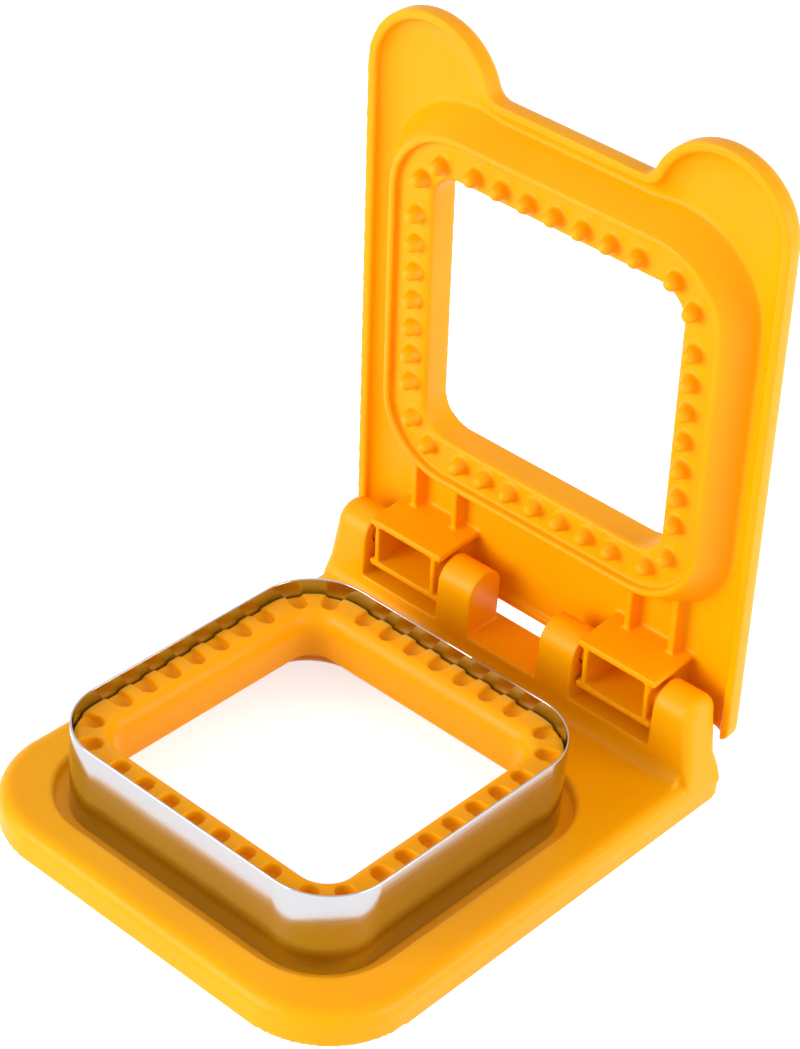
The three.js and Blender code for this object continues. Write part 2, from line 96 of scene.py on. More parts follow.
METAL_EDGE = 0.15 * MM
LINES_SCALE = 60.0
LINES_STRETCH = (1.0, 1.0, 40.0)
LINES_STRENGTH = 0.03
LINES_HEIGHT = 0.01 * MM
STRIP_ROUGHNESS = (0.08, 0.16)
WAVES_SCALE = 30.0
WAVES_DETAIL = 1.0
WAVES_STRENGTH = 0.12
WAVES_HEIGHT = 0.15 * MM
ZINC_SCALE = 900.0
ZINC_ROUGHNESS = (0.25, 0.4)

# Stage and light, in metres and watts
FLOOR_HALF = 4.0
FLOOR_DROP = 0.05 * MM
FLOOR_ROUGHNESS = 0.9
FLOOR_LIFT = 0.7
WORLD_ON_OBJECT = 0.6
WORLD_SEEN = 1.0
LIGHT_AIM = (0.0, 0.0, 0.05)
KEY_PLACE = (-0.45, -1.0, 0.36)
KEY_SIZE = 0.9
KEY_POWER = 11.2
FILL_PLACE = (1.05, 0.35, 0.3)
FILL_SIZE = 0.8
FILL_POWER = 8.0
VIEW_DEPTH = 20.0

SMOOTH_BELOW_DEG = 34.0
WELD_DISTANCE = 0.004 * MM


def new_material(name):
    material = bpy.data.materials.new(name)
    material.use_nodes = True
    tree = material.node_tree
    return material, tree, tree.nodes["Principled BSDF"]


def add_node(tree, kind, **values):
    node = tree.nodes.new(kind)
    for key, value in values.items():
        node.inputs[key].default_value = value
    return node


def noise(tree, scale, detail=3.0, roughness=0.5, stretch=None):
    coordinates = tree.nodes.new("ShaderNodeTexCoord")
    output = coordinates.outputs["Object"]
    if stretch:
        mapping = add_node(tree, "ShaderNodeMapping", Scale=stretch)
        tree.links.new(output, mapping.inputs["Vector"])
        output = mapping.outputs["Vector"]
    texture = add_node(
        tree, "ShaderNodeTexNoise", Scale=scale, Detail=detail, Roughness=roughness
    )
    tree.links.new(output, texture.inputs["Vector"])
    return texture.outputs["Fac"]


def map_range(tree, value, low, high, start=NOISE_LOW, end=NOISE_HIGH):
    node = tree.nodes.new("ShaderNodeMapRange")
    node.inputs["From Min"].default_value = start
    node.inputs["From Max"].default_value = end
    node.inputs["To Min"].default_value = low
    node.inputs["To Max"].default_value = high
    tree.links.new(value, node.inputs["Value"])
    return node.outputs["Result"]


def bump(tree, height, strength, distance, normal=None):
    node = add_node(tree, "ShaderNodeBump", Strength=strength, Distance=distance)
    tree.links.new(height, node.inputs["Height"])
    if normal is not None:
        tree.links.new(normal, node.inputs["Normal"])
    return node.outputs["Normal"]


def soft_edges(tree, radius):
    node = tree.nodes.new("ShaderNodeBevel")
    node.samples = BEVEL_SAMPLES
    node.inputs["Radius"].default_value = radius
    return node.outputs["Normal"]


def orange_plastic():
    material, tree, shader = new_material("orange_abs")
    cloud = noise(tree, CLOUD_SCALE, CLOUD_DETAIL)
    mix = tree.nodes.new("ShaderNodeMix")
    mix.data_type = "RGBA"
    mix.inputs[6].default_value = ORANGE
    mix.inputs[7].default_value = ORANGE_DEEP
    tree.links.new(map_range(tree, cloud, 0.0, 1.0), mix.inputs["Factor"])
    tree.links.new(mix.outputs[2], shader.inputs["Base Color"])
    gloss = map_range(tree, noise(tree, GLOSS_SCALE, GLOSS_DETAIL), *PLASTIC_ROUGHNESS)
    tree.links.new(gloss, shader.inputs["Roughness"])
    edges = soft_edges(tree, PLASTIC_EDGE)
    marks = noise(tree, FLOW_SCALE, SOFT_DETAIL)
    flow = bump(tree, marks, FLOW_STRENGTH, FLOW_HEIGHT, edges)
    pores = noise(tree, GRAIN_SCALE, SOFT_DETAIL)
    grain = bump(tree, pores, GRAIN_STRENGTH, GRAIN_HEIGHT, flow)
    tree.links.new(grain, shader.inputs["Normal"])
    shader.inputs["IOR"].default_value = PLASTIC_IOR
    shader.inputs["Specular IOR Level"].default_value = PLASTIC_SPECULAR
    shader.inputs["Subsurface Weight"].default_value = PLASTIC_SUBSURFACE
    shader.inputs["Subsurface Radius"].default_value = PLASTIC_SCATTER
    shader.inputs["Subsurface Scale"].default_value = PLASTIC_SCATTER_DEPTH
    return material


def polished_steel():
    material, tree, shader = new_material("polished_strip")
    shader.inputs["Metallic"].default_value = 1.0
    shader.inputs["Base Color"].default_value = STEEL
    lines = noise(tree, LINES_SCALE, stretch=LINES_STRETCH)
    polish = map_range(tree, lines, *STRIP_ROUGHNESS)
    tree.links.new(polish, shader.inputs["Roughness"])
    edges = soft_edges(tree, METAL_EDGE)
    swell = noise(tree, WAVES_SCALE, WAVES_DETAIL)
    waves = bump(tree, swell, WAVES_STRENGTH, WAVES_HEIGHT, edges)
    drawn = bump(tree, lines, LINES_STRENGTH, LINES_HEIGHT, waves)
    tree.links.new(drawn, shader.inputs["Normal"])
    return material


def zinc_steel():
    material, tree, shader = new_material("zinc_screw")
    shader.inputs["Metallic"].default_value = 1.0
    shader.inputs["Base Color"].default_value = ZINC
    plating = map_range(tree, noise(tree, ZINC_SCALE), *ZINC_ROUGHNESS)
    tree.links.new(plating, shader.inputs["Roughness"])
    tree.links.new(soft_edges(tree, METAL_EDGE), shader.inputs["Normal"])
    return material


def smooth(obj):
    """Rounds the shading of curved stretches and keeps the real edges."""
    for name in ("custom_normal", "sharp_edge", "sharp_face"):
        kept = obj.data.attributes.get(name)
        if kept:
            obj.data.attributes.remove(kept)
    weld = obj.modifiers.new("weld", "WELD")
    weld.merge_threshold = WELD_DISTANCE
    bpy.context.view_layer.objects.active = obj
    for other in bpy.context.selected_objects:
        other.select_set(False)
    obj.select_set(True)
    bpy.ops.object.shade_auto_smooth(angle=math.radians(SMOOTH_BELOW_DEG))
    obj.modifiers[-1].use_pin_to_last = False
    obj.select_set(False)
    weighted = obj.modifiers.new("weighted", "WEIGHTED_NORMAL")
    weighted.keep_sharp = True


def dress(name, material):
    obj = NODES[name]
    obj.data.materials.clear()
    obj.data.materials.append(material)
    smooth(obj)


# Sizes of the scene's own pieces, in millimetres. Each piece replaces one CAD node. It has the
# same place and main form, with softer moulded edges and some forms nearer to the photograph.
HINGE = Vector(frame["record"]["behaviour"]["joints"][0]["pos_m"]) / MM
HINGE_TO_BAND = 64.0
BAND_HALF = 40.95
BAND_CORNER_RADIUS = 15.0
CORNER_CENTRE = BAND_HALF - BAND_CORNER_RADIUS
BAND_THICKNESS = 0.5
BAND_FOOT = 4.9
BAND_TOP = 25.5
BAND_LIP_RADIUS = 0.2
BAND_SEAM_OFFSET = 6.0
BAND_SEAM_GAP = 0.25
TOOTH_PITCH = 7.12
TEETH_PER_SIDE = 7
TOOTH_INSET = 4.25
TOOTH_HALF = BAND_HALF - TOOTH_INSET
BASE_HALF = 54.0
FRONT_Y = -116.8
DECK_HEIGHT = 7.7
OVERRUN = 1.0
FINE_STEPS = 10
CORNER_STEPS = 24
ROUND_SIDES = 28
BAND_LIP_STEPS = 3

# Moulding: the grain of the fused mesh, its rounding passes, and the share of faces kept
RING_GRAIN = 0.28
BASE_GRAIN = 0.36
LID_GRAIN = 0.36
SOFTENING = 2
LID_SOFTENING = 3
SOFTENING_FACTOR = 0.5
FACES_KEPT = 0.5

QUARTER = math.pi / 2


def arc(x, y, radius, start, end, steps=FINE_STEPS):
    turns = [start + (end - start) * i / steps for i in range(steps + 1)]
    return [(x + radius * math.cos(t), y + radius * math.sin(t)) for t in turns]


def rounded_rectangle(half_x, front, rear, front_radius, rear_radius):
    corners = [
        (half_x - rear_radius, rear - rear_radius, rear_radius),
        (rear_radius - half_x, rear - rear_radius, rear_radius),
        (front_radius - half_x, front + front_radius, front_radius),
        (half_x - front_radius, front + front_radius, front_radius),
    ]
    points = []
    for turn, (x, y, radius) in enumerate(corners):
        points += arc(x, y, radius, turn * QUARTER, (turn + 1) * QUARTER, CORNER_STEPS)
    return points


def rounded_square(half):
    radius = half - CORNER_CENTRE
    return rounded_rectangle(half, -half, half, radius, radius)


def loft(rings, closed=False):
    """A solid through rings of equal length: capped at both ends, or closed on itself."""
    count = len(rings[0])
    verts = [point for ring in rings for point in ring]
    faces = []
    for row in range(len(rings) if closed else len(rings) - 1):
        above = (row + 1) % len(rings)
        for i in range(count):
            j = (i + 1) % count
            faces.append((row * count + i, row * count + j, above * count + j, above * count + i))
    if not closed:
        faces.append(tuple(reversed(range(count))))
        faces.append(tuple(range(len(verts) - count, len(verts))))
    return verts, faces


def stack(levels):
    return loft([[(x, y, height) for x, y in outline] for outline, height in levels])


def prism(outline, low, high):
    return stack([(outline, low), (outline, high)])


def square_ring(section):
    rings = [[(x, y, height) for x, y in rounded_square(half)] for half, height in section]
    return loft(rings, closed=True)


def block(x0, x1, y0, y1, z0, z1):
    return prism([(x1, y0), (x1, y1), (x0, y1), (x0, y0)], z0, z1)


def bar_along_x(x0, x1, radius):
    circle = arc(0, 0, radius, 0, 4 * QUARTER, ROUND_SIDES)[:-1]
    return loft([[(x, y, z) for y, z in circle] for x in (x0, x1)])


def moved(solid, x=0.0, y=0.0, z=0.0, turn=0.0):
    matrix = Matrix.Translation((x, y, z)) @ Matrix.Rotation(turn, 4, "Z")
    verts, faces = solid
    return [tuple(matrix @ Vector(point)) for point in verts], faces


def mirrored(solid):
    verts, faces = solid
    return [(-x, y, z) for x, y, z in verts], [tuple(reversed(face)) for face in faces]


def both_sides(solids):
    return [*solids, *[mirrored(solid) for solid in solids]]


def new_object(name, solids, place):
    """One object from solids in millimetres, set in the frame by a matrix."""
    verts, faces = [], []
    for solid_verts, solid_faces in solids:
        first = len(verts)
        verts += [place @ (Vector(point) * MM) for point in solid_verts]
        faces += [tuple(first + i for i in face) for face in solid_faces]
    mesh = bpy.data.meshes.new(name)
    mesh.from_pydata(verts, [], faces)
    obj = bpy.data.objects.new(name, mesh)
    bpy.context.scene.collection.objects.link(obj)
    return obj


def settle(obj):
    """Turns the object's modifiers into its mesh."""
    graph = bpy.context.evaluated_depsgraph_get()
    mesh = bpy.data.meshes.new_from_object(obj.evaluated_get(graph))
    obj.modifiers.clear()
    obj.data = mesh


def carve(obj, solids, place):
    cutter = new_object("cutter", solids, place)
    cut = obj.modifiers.new("cut", "BOOLEAN")
    cut.operation = "DIFFERENCE"
    cut.solver = "EXACT"
    cut.use_self = True
    cut.object = cutter
    settle(obj)
    bpy.data.objects.remove(cutter)


def add_solids(obj, solids, place):
    """Lays more closed solids into the object; moulding fuses them."""
    other = new_object("other", solids, place)
    mesh = bmesh.new()
    mesh.from_mesh(obj.data)
    mesh.from_mesh(other.data)
    mesh.to_mesh(obj.data)
    mesh.free()
    bpy.data.objects.remove(other)


def mould(obj, grain, softening=SOFTENING):
    """Fuses all that the object holds and rounds its edges as a moulding has them."""
    remesh = obj.modifiers.new("fuse", "REMESH")
    remesh.mode = "VOXEL"
    remesh.voxel_size = grain * MM
    remesh.use_smooth_shade = True
    soften = obj.modifiers.new("soften", "SMOOTH")
    soften.factor = SOFTENING_FACTOR
    soften.iterations = softening
    thin = obj.modifiers.new("thin", "DECIMATE")
    thin.ratio = FACES_KEPT
    settle(obj)
    for face in obj.data.polygons:
        face.use_smooth = True


def tooth_places(half):
    """Places of the notches and teeth: a row on each side and a pair round each corner."""
    radius = half - CORNER_CENTRE
    corner_turn = math.asin(TOOTH_PITCH / 2 / radius)
    places = []
    for side in range(4):
        turn = side * QUARTER
        middle = (TEETH_PER_SIDE - 1) / 2
        row = [(half, (i - middle) * TOOTH_PITCH, 0.0) for i in range(TEETH_PER_SIDE)]
        for lean in (QUARTER / 2 - corner_turn, QUARTER / 2 + corner_turn):
            out = CORNER_CENTRE + radius * math.cos(lean)
            row.append((out, -CORNER_CENTRE - radius * math.sin(lean), lean))
        for out, along, lean in row:
            x = out * math.cos(turn) + along * math.sin(turn)
            y = out * math.sin(turn) - along * math.cos(turn)
            places.append((x, y, turn + lean))
    return places


def make_band(place):
    inner = BAND_HALF - BAND_THICKNESS
    lip = BAND_LIP_RADIUS
    section = [
        (BAND_HALF, BAND_FOOT),
        *arc(BAND_HALF - lip, BAND_TOP - lip, lip, 0, QUARTER, BAND_LIP_STEPS),
        *arc(inner + lip, BAND_TOP - lip, lip, QUARTER, 2 * QUARTER, BAND_LIP_STEPS),
        (inner, BAND_FOOT),
    ]
    band = new_object("band_strip", [square_ring(section)], place)
    seam = block(
        BAND_SEAM_OFFSET,
        BAND_SEAM_OFFSET + BAND_SEAM_GAP,
        inner - OVERRUN,
        BAND_HALF + OVERRUN,
        BAND_FOOT - OVERRUN,
        BAND_TOP + OVERRUN,
    )
    carve(band, [seam], place)
    smooth(band)
    return band


# Ring with its notches
RING_TOP = 22.4
RING_SEAT = 12.1
RING_GAP = 0.25
RING_HALF = BAND_HALF - BAND_THICKNESS - RING_GAP
RING_LIP_HALF = 31.5
RING_SHOULDER_WIDTH = 1.6
RING_SHOULDER_DROP = 1.1
RING_LIP_WIDTH = 3.2
RING_LIP_DROP = 5.0
RING_WALL = 1.4
RING_FOOT = 11.2
RING_ROOF = 4.0
NOTCH_RADIUS = 2.0
NOTCH_SHIFT = 0.4
NOTCH_DEPTH = 2.6
NOTCH_TILT_DEG = 16.0
NOTCH_STEPS = 14
RING_SHOULDER_STEPS = 6
RING_LIP_STEPS = 12


def make_ring(place):
    shoulder = [
        (
            RING_HALF - RING_SHOULDER_WIDTH * (1 - x),
            RING_TOP - RING_SHOULDER_DROP * (1 - y),
        )
        for x, y in arc(0, 0, 1, 0, QUARTER, RING_SHOULDER_STEPS)
    ]
    lip = [
        (
            RING_LIP_HALF + RING_LIP_WIDTH * (1 + x),
            RING_TOP - RING_LIP_DROP * (1 - y),
        )
        for x, y in arc(0, 0, 1, QUARTER, 2 * QUARTER, RING_LIP_STEPS)
    ]
    section = [
        (RING_HALF, RING_SEAT),
        *shoulder,
        *lip,
        (RING_LIP_HALF, RING_FOOT),
        (RING_LIP_HALF + RING_WALL, RING_FOOT),
        (RING_LIP_HALF + RING_WALL, RING_TOP - RING_ROOF),
        (RING_HALF - RING_WALL, RING_TOP - RING_ROOF),
        (RING_HALF - RING_WALL, RING_SEAT),
    ]
    ring = new_object("ring_moulding", [square_ring(section)], place)
    reach = RING_HALF - TOOTH_HALF + OVERRUN
    outline = [
        (reach, -NOTCH_RADIUS),
        (reach, NOTCH_RADIUS),
        *arc(NOTCH_SHIFT, 0, NOTCH_RADIUS, QUARTER, 3 * QUARTER, NOTCH_STEPS),
    ]
    verts, faces = prism(outline, 0.0, NOTCH_DEPTH + 3 * OVERRUN)
    end = Vector((NOTCH_SHIFT - NOTCH_RADIUS, 0.0, RING_TOP - NOTCH_DEPTH))
    tilt = Matrix.Rotation(-math.radians(NOTCH_TILT_DEG), 4, "Y")
    pivot = Matrix.Translation(end) @ tilt @ Matrix.Translation((-end.x, 0.0, 0.0))
    notch = [tuple(pivot @ Vector(point)) for point in verts], faces
    notches = [moved(notch, x, y, turn=turn) for x, y, turn in tooth_places(TOOTH_HALF)]
    carve(ring, notches, place)
    mould(ring, RING_GRAIN)
    return ring


# Base: front corners and outer knuckles
BASE_CORNER_RADIUS = 22.0
DECK_EDGE_RADIUS = 3.0
KNUCKLE_RADIUS = 5.3
KNUCKLE_START = 41.5
KNUCKLE_END = 51.2
KNUCKLE_ROUNDING = 2.5
KNUCKLE_FOOT_ROUNDING = 0.8
KNUCKLE_REAR_Y = 7.4
KNUCKLE_REAR_TOP = 12.4
KNUCKLE_WALL = 2.2
BORE_RADIUS = 2.6
BORE_END = 43.4
CROWN_END = 0.985


def base_outline(inset):
    radius = BASE_CORNER_RADIUS - inset
    return rounded_rectangle(BASE_HALF - inset, FRONT_Y + inset, 0.0, radius, OVERRUN)


def front_corner_cutters():
    edge = arc(0, 0, DECK_EDGE_RADIUS, 0, QUARTER)
    levels = [(base_outline(0.0), -2 * OVERRUN)]
    for x, z in edge:
        levels.append((base_outline(DECK_EDGE_RADIUS - x), DECK_HEIGHT - DECK_EDGE_RADIUS + z))
    levels.append((base_outline(DECK_EDGE_RADIUS), DECK_HEIGHT + 2 * OVERRUN))
    keep = stack(levels)
    start = BASE_HALF - BASE_CORNER_RADIUS
    rim = BASE_HALF + OVERRUN
    front = FRONT_Y - OVERRUN
    low = -OVERRUN
    high = DECK_HEIGHT + OVERRUN
    corner = block(start, rim, front, FRONT_Y + BASE_CORNER_RADIUS, low, high)
    return both_sides([corner]), [keep]


def knuckle_rear(z):
    """Rear face of an outer knuckle: it leans in from the table up to where the lid passes."""
    share = min(z / KNUCKLE_REAR_TOP, 1.0)
    return KNUCKLE_REAR_Y + (KNUCKLE_RADIUS - KNUCKLE_REAR_Y) * share


def rear_wedge():
    """What the same lean takes off the shell below the knuckle."""
    levels = []
    for z in (-OVERRUN, DECK_HEIGHT - DECK_EDGE_RADIUS):
        near = knuckle_rear(z)
        far = KNUCKLE_REAR_Y + 2 * OVERRUN
        levels.append((
            [
                (KNUCKLE_START, near),
                (BASE_HALF + OVERRUN, near),
                (BASE_HALF + OVERRUN, far),
                (KNUCKLE_START, far),
            ],
            z,
        ))
    return stack(levels)


def outer_knuckle():
    """Outlines of the knuckle from the deck up to its rounded crown."""
    levels = []
    centre_x = KNUCKLE_END - KNUCKLE_ROUNDING
    upright = DECK_HEIGHT - DECK_EDGE_RADIUS
    corners = (
        (upright - OVERRUN, KNUCKLE_FOOT_ROUNDING),
        (upright, KNUCKLE_FOOT_ROUNDING),
        (DECK_HEIGHT, KNUCKLE_FOOT_ROUNDING),
        (KNUCKLE_REAR_TOP, KNUCKLE_ROUNDING),
        (HINGE.z, KNUCKLE_ROUNDING),
    )
    for z, rounding in corners:
        taper = max(z - upright, 0.0) / (HINGE.z - upright)
        rear = knuckle_rear(z)
        end = BASE_HALF + (KNUCKLE_END - BASE_HALF) * taper
        levels.append((
            [
                (KNUCKLE_START, -KNUCKLE_RADIUS),
                *arc(end - rounding, rounding - KNUCKLE_RADIUS, rounding, -QUARTER, 0),
                *arc(end - rounding, rear - rounding, rounding, 0, QUARTER),
                (KNUCKLE_START, rear),
            ],
            z,
        ))
    for i in range(1, FINE_STEPS + 1):
        height = KNUCKLE_RADIUS * math.sin(QUARTER * min(i / FINE_STEPS, CROWN_END))
        flat = KNUCKLE_RADIUS - KNUCKLE_ROUNDING
        last = math.acos(max(height - flat, 0.0) / KNUCKLE_ROUNDING)
        half = []
        for x, out in arc(0, 0, KNUCKLE_ROUNDING, QUARTER, QUARTER - last):
            radius = flat + out
            half.append((centre_x + x, math.sqrt(max(radius**2 - height**2, 0.0))))
        side = math.sqrt(max(KNUCKLE_RADIUS**2 - height**2, 0.0))
        outline = [(KNUCKLE_START, -side)]
        outline += [(x, -y) for x, y in half]
        outline += [(x, y) for x, y in reversed(half)]
        outline.append((KNUCKLE_START, side))
        levels.append((outline, HINGE.z + height))
    return stack(levels)


def make_base(place):
    base = bpy.data.objects.new("base_body", NODES["base_moulding"].data.copy())
    bpy.context.scene.collection.objects.link(base)
    weld = base.modifiers.new("weld", "WELD")
    weld.merge_threshold = WELD_DISTANCE
    settle(base)
    blocks, keep = front_corner_cutters()
    corners = new_object("corners", blocks, place)
    carve(corners, keep, place)
    cut = base.modifiers.new("cut", "BOOLEAN")
    cut.operation = "DIFFERENCE"
    cut.object = corners
    settle(base)
    bpy.data.objects.remove(corners)
    old = block(
        KNUCKLE_START,
        BASE_HALF + OVERRUN,
        -KNUCKLE_RADIUS,
        KNUCKLE_REAR_Y + OVERRUN,
        DECK_HEIGHT - DECK_EDGE_RADIUS,
        HINGE.z + KNUCKLE_RADIUS + OVERRUN,
    )
    carve(base, both_sides([old]), place)
    carve(base, both_sides([rear_wedge()]), place)
    knuckles = new_object("knuckles", both_sides([outer_knuckle()]), place)
    bore = moved(bar_along_x(-BORE_END, BORE_END, BORE_RADIUS), z=HINGE.z)
    carve(knuckles, [bore], place)
    hollow = block(
        BORE_END + KNUCKLE_WALL,
        KNUCKLE_END - KNUCKLE_WALL,
        KNUCKLE_WALL - KNUCKLE_RADIUS,
        KNUCKLE_RADIUS - KNUCKLE_WALL,
        -OVERRUN,
        HINGE.z,
    )
    carve(knuckles, both_sides([hollow]), place)
    mesh = bmesh.new()
    mesh.from_mesh(base.data)
    mesh.from_mesh(knuckles.data)
    mesh.to_mesh(base.data)
    mesh.free()
    bpy.data.objects.remove(knuckles)
    mould(base, BASE_GRAIN)
    return base


# Lid, made face up about the hinge axis: X along the hinge, Y up the lid, Z towards the base
LID_HALF = 54.1
LID_TOP = 117.9
LID_TAIL = 8.8
LID_TAIL_RADIUS = 2.5
LID_BACK_RADIUS = 3.2
LID_THICKNESS = 5.7
LID_LEAN_DEG = 4.0
EAR_RADIUS = 17.0
EAR_TOP = 131.3
EAR_ROOT_RADIUS = 3.0
RIM_Z = -5.6
RIM_WIDTH = 2.3
RIM_EDGE = 0.5
DISH_DEPTH = 3.6
DISH_WIDTH = 7.0
TAIL_DEPTH = 2.4
TAIL_WIDTH = 2.4
FRAME_Y = 64.4
LIP_GAP = 1.1
LIP_THICKNESS = 1.8
LIP_HEIGHT = 4.1
LIP_EDGE_RADIUS = 0.7
FRAME_DRAFT = 4.2
FRAME_ROOT_RADIUS = 1.2
PLATFORM_HEIGHT = 2.2
OPENING_HALF = 33.0
OPENING_FLARE = 0.3
OPENING_EDGE_RADIUS = 1.0
TOOTH_RADIUS = 2.0
TOOTH_HEIGHT = 3.6
TOOTH_RISE_POWER = 0.8
ARM_START = 20.0
ARM_WIDTH = 21.0
ARM_TOP = 6.6
ARM_BOTTOM = 6.5
ARM_REACH = 4.4
ARM_PLATE = 1.6
ARM_OVERHANG = 1.5
ARM_WALL = 1.3
STUB_RADIUS = 2.3
STUB_REACH = 2.1
GUSSET_THICKNESS = 1.7
GUSSET_SHARES = (0.24, 0.81)
EAR_STEPS = 44
LIP_TURN = 0.3

FLOOR_Z = RIM_Z - DISH_DEPTH
BACK_Z = RIM_Z - LID_THICKNESS


def lid_outline(inset, tail_inset=None):
    tail_inset = inset if tail_inset is None else tail_inset
    half = LID_HALF - inset
    tail_radius = max(LID_TAIL_RADIUS - inset, LIP_EDGE_RADIUS)
    tail_y = tail_inset - LID_TAIL + tail_radius
    radius = EAR_RADIUS - inset
    ear_x = LID_HALF - EAR_RADIUS
    ear_y = EAR_TOP - EAR_RADIUS
    root = EAR_ROOT_RADIUS + inset
    root_y = LID_TOP - inset + root
    root_x = ear_x - math.sqrt((radius + root) ** 2 - (root_y - ear_y) ** 2)
    root_turn = math.atan2(root_y - ear_y, root_x - ear_x)
    right = [
        *arc(half - tail_radius, tail_y, tail_radius, -QUARTER, 0),
        *arc(ear_x, ear_y, radius, 0, root_turn, EAR_STEPS),
        *arc(root_x, root_y, root, root_turn - 2 * QUARTER, -QUARTER)[1:],
    ]
    return right + [(-x, y) for x, y in reversed(right)]


def lid_plate(place):
    edge = arc(0, 0, LID_BACK_RADIUS, -QUARTER, 0)
    levels = [
        (lid_outline(LID_BACK_RADIUS - x), BACK_Z + LID_BACK_RADIUS + z) for x, z in edge
    ]
    levels.append((lid_outline(0.0), RIM_Z))
    dish = [
        (
            lid_outline(RIM_WIDTH + DISH_WIDTH * (1 - x), -OVERRUN),
            RIM_Z - RIM_EDGE + (DISH_DEPTH - RIM_EDGE) * z,
        )
        for x, z in arc(0, 0, 1, -QUARTER, 0)
    ]
    dish.append((lid_outline(RIM_WIDTH - RIM_EDGE, -OVERRUN), RIM_Z))
    dish.append((lid_outline(RIM_WIDTH - RIM_EDGE, -OVERRUN), RIM_Z + OVERRUN))
    hole = prism(rounded_square(BAND_HALF), BACK_Z - OVERRUN, RIM_Z + OVERRUN)
    plate = new_object("lid_body", [stack(levels)], place)
    for cutter in (stack(dish), moved(hole, y=FRAME_Y)):
        carve(plate, [cutter], place)
    return plate


def lid_frame():
    lip_inner = BAND_HALF + LIP_GAP
    lip_outer = lip_inner + LIP_THICKNESS
    foot = lip_outer + FRAME_DRAFT + FRAME_ROOT_RADIUS
    lip_top = RIM_Z + LIP_HEIGHT
    platform = RIM_Z + PLATFORM_HEIGHT
    edge = LIP_EDGE_RADIUS
    root = FRAME_ROOT_RADIUS
    section = [
        (foot, BACK_Z + OVERRUN),
        *arc(foot, FLOOR_Z + root, root, -QUARTER, -(2 - LIP_TURN) * QUARTER),
        *arc(lip_outer - edge, lip_top - edge, edge, LIP_TURN * QUARTER, QUARTER),
        *arc(lip_inner + edge, lip_top - edge, edge, QUARTER, 2 * QUARTER),
        (lip_inner, platform),
        *arc(
            OPENING_HALF + OPENING_EDGE_RADIUS,
            platform - OPENING_EDGE_RADIUS,
            OPENING_EDGE_RADIUS,
            QUARTER,
            2 * QUARTER,
        ),
        (OPENING_HALF + OPENING_FLARE, BACK_Z),
        (BAND_HALF + OVERRUN, BACK_Z),
    ]
    return moved(square_ring(section), y=FRAME_Y)


def lid_teeth():
    """Blunt round-topped pegs on the platform."""
    platform = RIM_Z + PLATFORM_HEIGHT
    profile = [(TOOTH_RADIUS, platform - OVERRUN)]
    for x, z in arc(0, 0, 1, 0, QUARTER)[:-1]:
        profile.append((TOOTH_RADIUS * x**TOOTH_RISE_POWER, platform + TOOTH_HEIGHT * z))
    levels = [(arc(0, 0, radius, 0, 4 * QUARTER, ROUND_SIDES)[:-1], z) for radius, z in profile]
    tooth = stack(levels)
    return [moved(tooth, x, y + FRAME_Y) for x, y, _ in tooth_places(TOOTH_HALF)]


def lid_arm():
    end = ARM_START + ARM_WIDTH
    wall_start = ARM_START + ARM_OVERHANG
    wall_end = end - ARM_OVERHANG
    back = FLOOR_Z - OVERRUN
    solids = [
        block(ARM_START, end, ARM_TOP - ARM_PLATE, ARM_TOP, back, ARM_REACH),
        block(ARM_START, end, -ARM_BOTTOM, ARM_PLATE - ARM_BOTTOM, back, ARM_REACH),
        block(wall_start, wall_start + ARM_WALL, -ARM_BOTTOM, ARM_TOP, back, ARM_REACH),
        block(wall_end - ARM_WALL, wall_end, -ARM_BOTTOM, ARM_TOP, back, ARM_REACH),
        bar_along_x(ARM_START - STUB_REACH, wall_start + ARM_WALL, STUB_RADIUS),
        bar_along_x(wall_end - ARM_WALL, end + STUB_REACH, STUB_RADIUS),
    ]
    rise = FRAME_Y - BAND_HALF - LIP_GAP
    for share in GUSSET_SHARES:
        middle = ARM_START + ARM_WIDTH * share
        side = GUSSET_THICKNESS / 2
        solids.append(block(middle - side, middle + side, ARM_TOP - OVERRUN, rise, back, RIM_Z))
    return solids


def make_lid():
    turn = Matrix.Rotation(QUARTER + math.radians(LID_LEAN_DEG), 4, "X")
    place = Matrix.Translation(HINGE * MM) @ turn
    lid = lid_plate(place)
    tail = block(
        RIM_WIDTH - LID_HALF,
        LID_HALF - RIM_WIDTH,
        LIP_EDGE_RADIUS - LID_TAIL,
        TAIL_WIDTH - LID_TAIL,
        FLOOR_Z - OVERRUN,
        RIM_Z - TAIL_DEPTH,
    )
    add_solids(lid, [lid_frame(), tail, *lid_teeth(), *both_sides(lid_arm())], place)
    mould(lid, LID_GRAIN, LID_SOFTENING)
    return lid


def make_pieces():
    orange = orange_plastic()
    to_hinge = Matrix.Translation((0, HINGE.y * MM, 0))
    to_band = Matrix.Translation((0, (HINGE.y - HINGE_TO_BAND) * MM, 0))
    pieces = (
        (make_base(to_hinge), "base_moulding", "base", orange, "orange_plastic"),
        (make_ring(to_band), "sealing_ring", "base", orange, "orange_plastic"),
        (make_band(to_band), "cutter_band", "base", polished_steel(), "band_steel"),
        (make_lid(), "lid_moulding", "lid", orange, "orange_plastic"),
    )
    for piece, node, body, material, slot in pieces:
        piece.data.materials.clear()
        piece.data.materials.append(material)
        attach(piece, body)
        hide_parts(node)
    zinc = zinc_steel()
    for name in NODES:
        if name.startswith("ring_screw"):
            dress(name, zinc)


def flat_sheet(name, half, height):
    mesh = bpy.data.meshes.new(name)
    corners = [(-half, -half), (half, -half), (half, half), (-half, half)]
    mesh.from_pydata([(x, y, height) for x, y in corners], [], [(0, 1, 2, 3)])
    obj = bpy.data.objects.new(name, mesh)
    bpy.context.scene.collection.objects.link(obj)
    return obj


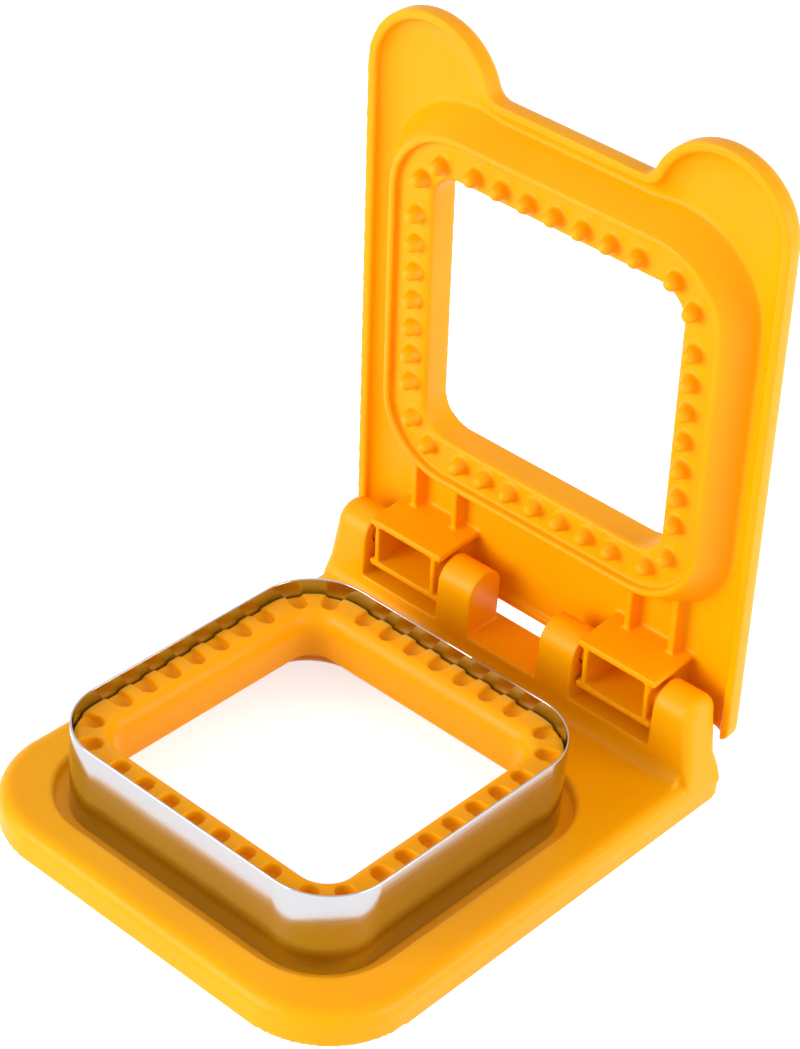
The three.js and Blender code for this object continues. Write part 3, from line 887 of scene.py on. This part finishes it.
def seen_or_mirrored(tree):
    """1 for camera rays and for what metal and glass show, 0 for the rest."""
    path = tree.nodes.new("ShaderNodeLightPath")
    total = path.outputs["Is Camera Ray"]
    for kind in ("Is Glossy Ray", "Is Transmission Ray"):
        node = tree.nodes.new("ShaderNodeMath")
        node.operation = "MAXIMUM"
        tree.links.new(total, node.inputs[0])
        tree.links.new(path.outputs[kind], node.inputs[1])
        total = node.outputs["Value"]
    return total


def floor_material():
    material, tree, shader = new_material("pale_floor")
    shader.inputs["Base Color"].default_value = FLOOR_WHITE
    shader.inputs["Roughness"].default_value = FLOOR_ROUGHNESS
    shader.inputs["Specular IOR Level"].default_value = 0.0
    shader.inputs["Emission Color"].default_value = (1.0, 1.0, 1.0, 1.0)
    lift = map_range(tree, seen_or_mirrored(tree), 0.0, FLOOR_LIFT, 0.0, 1.0)
    tree.links.new(lift, shader.inputs["Emission Strength"])
    return material


def make_floor():
    floor = flat_sheet("floor", FLOOR_HALF, -FLOOR_DROP)
    floor.data.materials.append(floor_material())


def make_world():
    world = bpy.data.worlds.new("studio")
    bpy.context.scene.world = world
    world.use_nodes = True
    tree = world.node_tree
    background = tree.nodes["Background"]
    background.inputs["Color"].default_value = (1.0, 1.0, 1.0, 1.0)
    seen = seen_or_mirrored(tree)
    strength = map_range(tree, seen, WORLD_ON_OBJECT, WORLD_SEEN, 0.0, 1.0)
    tree.links.new(strength, background.inputs["Strength"])


def soft_box(name, place, aim, size, power):
    light = bpy.data.lights.new(name, "AREA")
    light.shape = "DISK"
    light.size = size
    light.energy = power
    obj = bpy.data.objects.new(name, light)
    direction = Vector(aim) - Vector(place)
    obj.rotation_mode = "QUATERNION"
    obj.rotation_quaternion = direction.to_track_quat("-Z", "Y")
    obj.location = place
    bpy.context.scene.collection.objects.link(obj)


def make_lights():
    soft_box("key", KEY_PLACE, LIGHT_AIM, KEY_SIZE, KEY_POWER)
    soft_box("fill", FILL_PLACE, LIGHT_AIM, FILL_SIZE, FILL_POWER)


def make_camera():
    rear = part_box("base_moulding")[1][1]
    look = Vector((-LOOK_LEFT, rear + LOOK_BEHIND_REAR, LOOK_HEIGHT))
    azimuth = math.radians(AZIMUTH_DEG)
    elevation = math.radians(ELEVATION_DEG)
    roll = math.radians(ROLL_DEG)
    back = Vector(
        (
            math.sin(azimuth) * math.cos(elevation),
            -math.cos(azimuth) * math.cos(elevation),
            math.sin(elevation),
        )
    )
    level_right = Vector((0.0, 0.0, 1.0)).cross(back).normalized()
    level_up = back.cross(level_right)
    right = level_right * math.cos(roll) + level_up * math.sin(roll)
    up = back.cross(right)
    camera = bpy.data.cameras.new("camera")
    camera.sensor_fit = "VERTICAL"
    camera.sensor_height = SENSOR_MM
    camera.lens = FOCAL_PX / IMAGE_HEIGHT_PX * SENSOR_MM
    camera.clip_end = VIEW_DEPTH
    obj = bpy.data.objects.new("camera", camera)
    turn = Matrix((right, up, back)).transposed().to_4x4()
    obj.matrix_world = Matrix.Translation(look + back * CAMERA_DISTANCE) @ turn
    bpy.context.scene.collection.objects.link(obj)
    bpy.context.scene.camera = obj


make_camera()
make_pieces()
make_floor()
make_world()
make_lights()
bpy.context.scene.view_settings.view_transform = "Standard"
